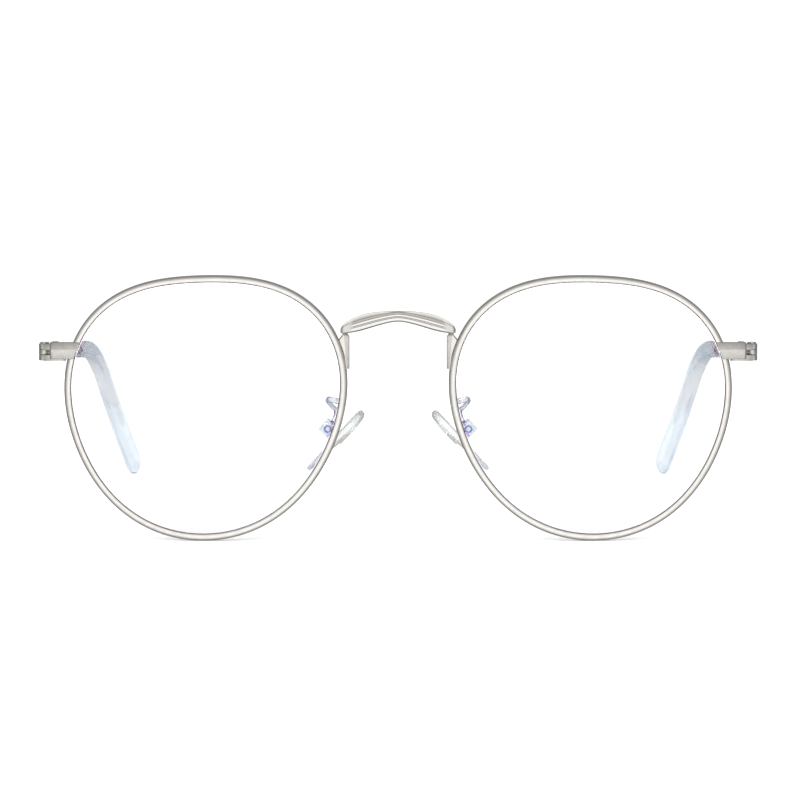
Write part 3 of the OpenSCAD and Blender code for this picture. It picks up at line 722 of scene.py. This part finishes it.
class GLASSES_OT_bridge_legs(bpy.types.Operator):
    """Shape the flat legs between the bridge and the rims, with a facet along each rim"""
    bl_idname = "glasses.bridge_legs"
    bl_label = "Bridge legs"

    def execute(self, context):
        glasses = context.scene.glasses
        bridge = glasses.bridge
        eye = Eye(glasses)
        half = glasses.eye.nose_gap / 2 + bridge.over
        inner = glasses.eye.nose_gap / 2 - bridge.leg_reach
        # Depth that the leg runs into the rim and the bar, to where it is brazed
        braze = 0.12 * MM
        neck = bridge_bottom(bridge, half - bridge.end_round) + 2 * braze
        # Heights at which the leg leaves the rim and at which it is down to the neck's width
        leave = neck - 1.6 * MM
        narrow = leave + 1.1 * MM
        soft = 0.09 * MM
        steps = 36
        # Place in the outline of the facet that faces the rim
        polished = 4
        front = -bridge.leg_depth / 4
        back = bridge.leg_depth / 2 + 0.1 * MM
        rows = []
        for i in range(steps + 1):
            z = bridge.leg_z + (neck - bridge.leg_z) * i / steps
            rise = max(0, min(1, (z - leave) / (narrow - leave)))
            left = inner + 0.35 * MM * max(0, (z - narrow + 0.3 * MM) / (neck - narrow)) ** 0.7
            at_rim = eye.point(eye.nose_angle(min(z, leave)), glasses.rim.width / 2 - braze).x
            right = at_rim + (half - 0.35 * MM - at_rim) * rise
            plate_width = (0.4 + 0.55 * i / steps) * MM
            plate = min(left + plate_width, right - 0.12 * MM)
            face = front + max(0, z - narrow)
            facet = face + 0.1 * (right - plate) + 0.08 * MM
            valley = min((0.24 + 0.12 * i / steps) * MM, 0.5 * (right - plate))
            outline = [
                (left, face + 0.14 * MM + soft), (left + 0.03 * MM, face + 0.17 * MM),
                (left + soft, face + 0.14 * MM), (plate - 0.02 * MM, face),
                (plate + 0.02 * MM, face + 0.08 * MM), (right - valley, facet),
                (right, facet + 2.4 * valley), (right, back - soft), (right - soft, back),
                (left + soft, back), (left, back - soft)]
            rows.append([(x, y, z) for x, y in outline])
        for word, side in SIDES.items():
            rings = [[eye.to_frame(p, side) for p in row] for row in rows]
            made = skin("bridge_leg_plate_" + word, rings)
            dress(made, material(pressed_nickel_silver, context), "front",
                  "bridge_leg_" + word)
            made.data.materials.append(material(drawn_nickel_silver, context))
            for i in range(steps):
                made.data.polygons[i * len(rows[0]) + polished].material_index = 1
        return {"FINISHED"}


# ---- small fittings whose shapes the frame already has right: their edges are rounded over


def fittings(context, maker, body, kinds):
    """Makes both sides of each kind. kinds gives a node's stem, a piece's stem and a rounding."""
    pieces = []
    for stem, name, width in kinds:
        for word in SIDES:
            mesh = own_solid(f"{stem}_{word}")
            round_edges(mesh, width)
            made = from_bmesh(f"{name}_{word}", mesh)
            dress(made, material(maker, context), body.format(word), f"{stem}_{word}")
            pieces.append(made)
    return pieces


class GLASSES_OT_end_pieces(bpy.types.Operator):
    """Make the faceted end pieces and the rim lock blocks behind them"""
    bl_idname = "glasses.end_pieces"
    bl_label = "End pieces and rim locks"

    def execute(self, context):
        fittings(context, pressed_nickel_silver, "front", [
            ("rim_lock_upper", "rim_lock_block_upper", 0.08 * MM),
            ("rim_lock_lower", "rim_lock_block_lower", 0.08 * MM)])
        for word in SIDES:
            low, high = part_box("endpiece_" + word)
            outer = max(abs(low.x), abs(high.x)) - 0.2 * MM

            def at_outer_front(edge):
                return all(abs(v.co.x) > outer and v.co.y < low.y + 1 * MM for v in edge.verts)

            mesh = own_solid("endpiece_" + word)
            round_edges(mesh, 0.5 * MM, 5, at_outer_front)
            round_edges(mesh, 0.12 * MM)
            made = from_bmesh("end_piece_bar_" + word, mesh)
            dress(made, material(pressed_nickel_silver, context), "front",
                  "endpiece_" + word)
        return {"FINISHED"}


class GLASSES_OT_hinges(bpy.types.Operator):
    """Make the hinge leaves with their knuckles, and the temples' knuckles and blocks"""
    bl_idname = "glasses.hinges"
    bl_label = "Hinges"

    def execute(self, context):
        fittings(context, pressed_nickel_silver, "front", [
            ("hinge_front", "hinge_leaf", 0.07 * MM)])
        fittings(context, pressed_nickel_silver, "temple_{}", [
            ("hinge_temple", "hinge_block", 0.08 * MM)])
        return {"FINISHED"}


class GLASSES_OT_screws(bpy.types.Operator):
    """Make the hinge screws and the rim lock screws"""
    bl_idname = "glasses.screws"
    bl_label = "Hinge and rim lock screws"

    def execute(self, context):
        fittings(context, turned_steel, "front", [
            ("hinge_screw", "hinge_screw_turned", 0.05 * MM),
            ("rim_lock_screw", "rim_lock_screw_turned", 0.05 * MM)])
        return {"FINISHED"}


class GLASSES_OT_pad_screws(bpy.types.Operator):
    """Turn the pad screws: a flat head with a cone sunk in it round a bright centre, the cone given a painted
    violet reflection
    """
    bl_idname = "glasses.pad_screws"
    bl_label = "Pad screws"

    def execute(self, context):
        glasses = context.scene.glasses
        # Radius and reach forward from the screw's middle, out along the shank and in over
        # the head, in millimetres
        profile = [(0.05, -1.3), (0.33, -1.3), (0.4, -1.23), (0.4, 1.3), (1.14, 1.3), (1.2, 1.36),
                   (1.2, 1.7), (1.17, 1.77), (1.1, 1.8), (0.76, 1.8), (0.74, 1.79), (0.45, 1.56),
                   (0.42, 1.55), (0.2, 1.57), (0.02, 1.58)]
        painted_violet = (9, 10, 11)
        count = 48
        turn = Matrix.Rotation(glasses.eye.face_form, 3, "Z")
        screw = Vector(JOINTS["pad_left_rock"]["pos_m"])
        for word, side in SIDES.items():
            rings = []
            for radius, reach in profile:
                ring = []
                for j in range(count):
                    t = 2 * math.pi * j / count
                    p = screw + turn @ Vector((radius * math.cos(t), -reach, radius * math.sin(t))) * MM
                    ring.append((side * p.x, p.y, p.z))
                rings.append(ring)
            made = skin("pad_screw_turned_" + word, rings)
            dress(made, material(turned_steel, context), "front", "pad_screw_" + word)
            # The cone's faces get the painted violet reflection
            made.data.materials.append(material(violet_painted_reflection, context))
            for i in painted_violet:
                for j in range(count):
                    made.data.polygons[i * count + j].material_index = 1
        return {"FINISHED"}


class GLASSES_OT_pad_boxes(bpy.types.Operator):
    """Make the pad boxes, with a painted violet reflection on their slanted faces, and the inserts that turn in
    them
    """
    bl_idname = "glasses.pad_boxes"
    bl_label = "Pad boxes and inserts"

    def execute(self, context):
        boxes = fittings(context, pressed_nickel_silver, "front", [
            ("pad_box", "pad_box_folded", 0.3 * MM)])
        for made in boxes:
            made.data.materials.append(material(violet_painted_reflection, context))
            # Faces slanted towards the front or back get the painted violet reflection
            for face in made.data.polygons:
                if 0.15 < abs(face.normal.y) < 0.97:
                    face.material_index = 1
        fittings(context, pressed_nickel_silver, "pad_{}", [
            ("pad_insert", "pad_insert_plate", 0.08 * MM)])
        return {"FINISHED"}


# ---- temples


class Temple:
    """The route of a temple wire from its hinge, and the way from it to the frame.

    s is the distance from the hinge along the route.
    """

    # Length over which the plastic's front edge is rounded
    mouth_round = 0.35 * MM
    # Length of the full-sized paddle at the end of the plastic
    paddle_length = 10 * MM

    def __init__(self, glasses):
        self.sizes = glasses.temple
        self.inward_start = self.sizes.bend_start - 8 * MM
        self.bend = self.sizes.bend_radius * self.sizes.bend_angle
        self.wire_end = self.sizes.length - self.sizes.solid
        down = Vector(MOUNTS["cord_grip_left"]["axis"])
        self.tip_down = Matrix.Rotation(math.atan2(down.z, down.y), 3, "X")
        self.hinge = Vector(JOINTS["temple_left_fold"]["pos_m"])

    def point(self, s):
        """Place on the route before it is tipped down and put at the hinge."""
        t = self.sizes
        past_bend = max(0, s - t.bend_start - self.bend)
        turn = max(0, min(s - t.bend_start, self.bend)) / t.bend_radius
        curl = max(0, s - self.inward_start) / (t.length - self.inward_start)
        return Vector((
            -t.inward * curl ** 1.4,
            min(s, t.bend_start) + t.bend_radius * math.sin(turn) + past_bend * math.cos(t.bend_angle),
            -t.bend_radius * (1 - math.cos(turn)) - past_bend * math.sin(t.bend_angle)))

    def ring(self, s, across, up, count, side):
        """Oval ring round the route at s: across and up are its half sizes."""
        step = 0.2 * MM
        ahead = (self.point(s + step) - self.point(s - step)).normalized()
        u = ahead.cross(Vector((0, 0, 1))).normalized()
        v = u.cross(ahead)
        found = []
        for j in range(count):
            t = 2 * math.pi * j / count
            p = self.point(s) + u * (across * math.cos(t)) + v * (up * math.sin(t))
            p = self.tip_down @ p + self.hinge
            found.append(Vector((side * p.x, p.y, p.z)))
        return found

    def wire_radius(self, s):
        """Radius of the wire at s, which tapers inside the plastic."""
        t = self.sizes
        inside = max(0, s - t.tip_start) / (self.wire_end - t.tip_start)
        return t.wire / 2 * (1 - 0.4 * inside)

    def tip_half(self, s):
        """Half the plastic tip's width and height at s."""
        t = self.sizes
        paddle_start = t.length - self.paddle_length
        f = max(0, min(1, (s - t.tip_start) / (paddle_start - t.tip_start)))
        full = f * f * (3 - 2 * f)
        past = max(0, s - t.length + t.end_round) / t.end_round
        end = math.sqrt(max(0.0004, 1 - past ** 2))
        mouth = min(1, (s - t.tip_start) / self.mouth_round)
        end *= 0.9 + 0.1 * math.sqrt(max(0, 1 - (1 - mouth) ** 2))
        return tuple(
            (t.tip_diameter + (wide - t.tip_diameter) * full) / 2 * end
            for wide in (t.paddle_width, t.paddle_height))

    def stops(self, start, end, step):
        """Even places from start to end, about a step apart."""
        count = max(1, round((end - start) / step))
        return [start + (end - start) * i / count for i in range(count + 1)]


class GLASSES_OT_temples(bpy.types.Operator):
    """Draw the temple wires from their hinge blocks to inside the plastic tips"""
    bl_idname = "glasses.temples"
    bl_label = "Temple wires"

    def execute(self, context):
        temple = Temple(context.scene.glasses)
        start = temple.sizes.wire_start
        count = 28
        for word, side in SIDES.items():
            rings = []
            for s in temple.stops(start, temple.wire_end, 1.5 * MM):
                r = temple.wire_radius(s)
                rings.append(temple.ring(s, r, r, count, side))
            made = skin("temple_wire_" + word, rings)
            dress(made, material(drawn_nickel_silver, context), "temple_" + word,
                  "temple_" + word)
        return {"FINISHED"}


class GLASSES_OT_tips(bpy.types.Operator):
    """Mould the plastic tips, each with an open mouth round its wire, which runs on inside"""
    bl_idname = "glasses.tips"
    bl_label = "Temple tips"

    def execute(self, context):
        temple = Temple(context.scene.glasses)
        sizes = temple.sizes
        round_start = sizes.length - sizes.end_round
        stops = [sizes.tip_start + temple.mouth_round * k for k in (0, 0.12, 0.4, 0.7)]
        stops += temple.stops(sizes.tip_start + temple.mouth_round, round_start, 1.1 * MM)
        stops += [
            round_start + sizes.end_round * math.sin(math.radians(7.5 * k)) for k in range(1, 13)]
        # The mouth is a pocket round the wire, past which the plastic is closed
        wire = sizes.wire / 2
        pocket = wire + 0.25 * MM
        pocket_end = sizes.tip_start + 1.4 * MM
        count = 36
        for word, side in SIDES.items():
            rings = [
                temple.ring(pocket_end, wire, wire, count, side),
                temple.ring(pocket_end, pocket, pocket, count, side),
                temple.ring(sizes.tip_start, pocket, pocket, count, side)]
            for s in stops:
                across, up = temple.tip_half(s)
                rings.append(temple.ring(s, across, up, count, side))
            made = skin("temple_tip_plastic_" + word, rings)
            dress(made, material(tumbled_acetate, context), "temple_" + word,
                  "temple_tip_" + word)
        return {"FINISHED"}


# ---- nose pads


class GLASSES_OT_pad_arms(bpy.types.Operator):
    """Bend the pad arms from a flat foot on each rim round to a collar on the pad box"""
    bl_idname = "glasses.pad_arms"
    bl_label = "Pad arms"

    def execute(self, context):
        glasses = context.scene.glasses
        pad = glasses.pad
        eye = Eye(glasses)
        foot = eye.point(
            eye.nose_angle(pad.arm_foot_z), 0.1 * MM, glasses.rim.depth / 2 - 0.25 * MM)
        screw = Vector((glasses.eye.nose_gap / 2 + pad.out, pad.behind, pad.height))
        box = screw + pad.box_height / 2 * Vector((-math.sin(pad.lean), 0, math.cos(pad.lean)))
        # Bends of the wire in millimetres, measured from its foot and then from the box's top
        from_foot = [(-0.5, -0.1, 0), (0, 0, 0), (1.1, 0.75, 0), (2.85, 1.7, 0.35),
                     (3.3, 2.75, 0), (2.55, 3.85, -1.1), (1.9, 4.65, -1.9)]
        from_box = [(-0.6, -0.5, 1.8), (-0.35, -0.15, 1), (0.07, 0, -0.07), (0.4, 0, -0.45)]
        route = [foot + Vector(p) * MM for p in from_foot] + [box + Vector(p) * MM for p in from_box]
        # The route's first and last points only steer the curve. per is the rings per bend.
        per = 12
        line = [Vector(p) for p in smooth_through(route, per)][per:-per]
        foot_height = 1.1 * MM
        foot_thick = 0.55 * MM
        collar_rings = 9
        count = 20
        rows = []
        for i, centre in enumerate(line):
            near = line[max(0, i - 1)]
            far = line[min(len(line) - 1, i + 1)]
            ahead = (far - near).normalized()
            u = Vector((0, 0, 1)).cross(ahead).normalized()
            v = ahead.cross(u)
            # Flat to just past the second bend after the foot, round from just past the third
            flat = max(0, min(1, 3.2 - i / per))
            flat = flat * flat * (3 - 2 * flat)
            collar = 0.06 * MM if len(line) - i <= collar_rings else 0
            ru = pad.arm / 2 + (foot_thick - pad.arm) / 2 * flat + collar
            rv = pad.arm / 2 + (foot_height - pad.arm) / 2 * flat + collar
            rows.append([
                centre + u * (ru * math.cos(t)) + v * (rv * math.sin(t))
                for t in [2 * math.pi * j / count for j in range(count)]])
        for word, side in SIDES.items():
            made = skin("pad_arm_wire_" + word, [[eye.to_frame(p, side) for p in row] for row in rows])
            dress(made, material(drawn_nickel_silver, context), "front", "pad_arm_" + word)
            # The foot's upward faces and the collar get the painted violet reflection
            made.data.materials.append(material(violet_painted_reflection, context))
            for face in made.data.polygons:
                ring = face.index // count
                painted_violet_top = ring < 3 * per and face.normal.z > 0.6
                if painted_violet_top or ring > len(rows) - collar_rings:
                    face.material_index = 1
        return {"FINISHED"}


class GLASSES_OT_nose_pads(bpy.types.Operator):
    """Mould the nose pads: soft ovals, flat behind and domed towards the nose"""
    bl_idname = "glasses.nose_pads"
    bl_label = "Nose pads"

    def execute(self, context):
        glasses = context.scene.glasses
        pad = glasses.pad
        # Depth below the back face and share of the outline, as shares, down to the crown
        profile = smooth_through(
            [(0, 0.05), (0, 0.5), (0, 0.86), (0.04, 0.94), (0.2, 0.995), (0.45, 1), (0.68, 0.97),
             (0.85, 0.88), (0.94, 0.72), (0.985, 0.5), (1, 0.25), (1, 0.03)], 4)
        count = 72
        lean = Matrix.Rotation(glasses.eye.face_form, 3, "Z") @ Matrix.Rotation(-pad.lean, 3, "Y")
        screw = Vector(JOINTS["pad_left_rock"]["pos_m"])
        for word, side in SIDES.items():
            rings = []
            for deep, part in profile:
                ring = []
                for j in range(count):
                    t = -2 * math.pi * j / count
                    p = screw + lean @ Vector((
                        -pad.offset - deep * pad.thickness * (0.8 + 0.2 * math.sin(t)),
                        part * pad.width / 2 * math.cos(t),
                        -pad.drop + part * pad.length / 2 * math.sin(t) * (1 - 0.04 * math.cos(2 * t))))
                    ring.append(Vector((side * p.x, p.y, p.z)))
                rings.append(ring)
            made = skin("nose_pad_silicone_" + word, rings)
            dress(made, material(moulded_silicone, context), "pad_" + word,
                  "nose_pad_" + word)
        return {"FINISHED"}


# ---- stage


def studio_world(sky):
    """Even white light all round. Polished surfaces mirror a soft panel in front with dark
    walls at the sides, which gives round wire its bright middle and dark edges."""
    world = bpy.data.worlds.new("studio")
    bpy.context.scene.world = world
    world.use_nodes = True
    tree = world.node_tree
    tree.nodes.clear()
    even = add(tree, "ShaderNodeBackground", {"Color": (1, 1, 1, 1), "Strength": sky})
    way = add(tree, "ShaderNodeTexCoord").outputs["Generated"]
    frontness = add(
        tree, "ShaderNodeVectorMath", {0: way, 1: (0.0, -0.97, -0.24)}, operation="DOT_PRODUCT")
    place_on_ramp = add(tree, "ShaderNodeMapRange", {
        "Value": frontness.outputs["Value"], "From Min": -1.0, "From Max": 1.0,
        "To Min": 0.0, "To Max": 1.0})
    ramp = add(tree, "ShaderNodeValToRGB", {"Fac": place_on_ramp.outputs["Result"]})
    # Grey of the surroundings from straight behind, 0, to straight in front, 1
    stops = [(0.0, 0.36), (0.2, 0.25), (0.4, 0.21), (0.55, 0.29), (0.7, 0.41), (0.8, 0.54),
             (0.87, 0.71), (0.93, 0.94), (0.97, 1.06), (1.0, 1.12)]
    ramp.color_ramp.elements[0].position = stops[0][0]
    ramp.color_ramp.elements[0].color = (*[stops[0][1]] * 3, 1)
    ramp.color_ramp.elements[1].position = stops[-1][0]
    ramp.color_ramp.elements[1].color = (*[stops[-1][1]] * 3, 1)
    for place, grey in stops[1:-1]:
        ramp.color_ramp.elements.new(place).color = (grey, grey, grey, 1)
    panels = add(tree, "ShaderNodeBackground", {"Color": ramp.outputs["Color"], "Strength": sky})
    # A ray that passes through a frosted piece counts as glossy too, and isn't a mirrored one
    ray = add(tree, "ShaderNodeLightPath")
    mirrored = add(tree, "ShaderNodeMath", {
        0: ray.outputs["Is Glossy Ray"], 1: ray.outputs["Is Transmission Ray"]}, operation="SUBTRACT")
    mixed = add(tree, "ShaderNodeMixShader", {
        0: mirrored.outputs["Value"], 1: even.outputs["Background"],
        2: panels.outputs["Background"]})
    add(tree, "ShaderNodeOutputWorld", {"Surface": mixed.outputs["Shader"]})


class GLASSES_OT_stage(bpy.types.Operator):
    """Lay the pale floor, hang the soft lights and set up the camera"""
    bl_idname = "glasses.stage"
    bl_label = "Stage"

    def execute(self, context):
        scene = context.scene
        stage = scene.glasses.stage
        mesh = bmesh.new()
        bmesh.ops.create_circle(mesh, cap_ends=True, segments=96, radius=stage.floor_radius)
        floor = from_bmesh("floor_disc", mesh)
        floor.location.z = -0.02 * MM
        floor.data.materials.append(material(paper_floor, context))
        floor.visible_glossy = False

        studio_world(stage.sky)
        softness = math.radians(40)
        for name, strength, turn in (
                ("key_light", stage.key, (52, 0, -28)), ("fill_light", 0.5 * stage.key, (48, 0, 38))):
            lamp = bpy.data.lights.new(name, "SUN")
            lamp.energy = strength
            lamp.angle = softness
            held = bpy.data.objects.new(name, lamp)
            held.rotation_euler = [math.radians(t) for t in turn]
            held.visible_glossy = False
            scene.collection.objects.link(held)

        low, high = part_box("rim_left")
        aim = Vector((stage.aim_x, (low.y + high.y) / 2, stage.aim_z))
        data = bpy.data.cameras.new("view")
        data.sensor_width = 36
        data.lens = stage.focal
        data.clip_end = 200
        camera = bpy.data.objects.new("view", data)
        back = Vector((0, -math.cos(stage.elevation), math.sin(stage.elevation)))
        camera.location = aim + back * stage.distance
        camera.rotation_euler = (math.pi / 2 - stage.elevation, 0, 0)
        scene.collection.objects.link(camera)
        scene.camera = camera
        scene.view_settings.view_transform = "Standard"
        return {"FINISHED"}


# ---- panel and registration


class GLASSES_PT_sidebar(bpy.types.Panel):
    """Lists the pieces of the glasses"""
    bl_idname = "GLASSES_PT_sidebar"
    bl_label = "Eyeglasses"
    bl_space_type = "VIEW_3D"
    bl_region_type = "UI"
    bl_category = "Eyeglasses"

    def draw(self, context):
        for operator in OPERATORS:
            self.layout.operator(operator.bl_idname)


GROUPS = (
    EyeSizes, RimSizes, BridgeSizes, TempleSizes, PadSizes, Colours, StageSizes, Glasses)
OPERATORS = (
    GLASSES_OT_rims, GLASSES_OT_lenses, GLASSES_OT_bridge, GLASSES_OT_bridge_legs,
    GLASSES_OT_end_pieces, GLASSES_OT_hinges, GLASSES_OT_screws, GLASSES_OT_pad_screws,
    GLASSES_OT_temples, GLASSES_OT_tips, GLASSES_OT_pad_arms, GLASSES_OT_pad_boxes,
    GLASSES_OT_nose_pads, GLASSES_OT_stage)


def register():
    for group in GROUPS + OPERATORS:
        bpy.utils.register_class(group)
    bpy.utils.register_class(GLASSES_PT_sidebar)
    bpy.types.Scene.glasses = PointerProperty(type=Glasses)


def unregister():
    del bpy.types.Scene.glasses
    bpy.utils.unregister_class(GLASSES_PT_sidebar)
    for group in reversed(GROUPS + OPERATORS):
        bpy.utils.unregister_class(group)


def main():
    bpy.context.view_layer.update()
    register()
    for operator in OPERATORS:
        group, name = operator.bl_idname.split(".")
        getattr(getattr(bpy.ops, group), name)()


if __name__ == "__main__":
    main()
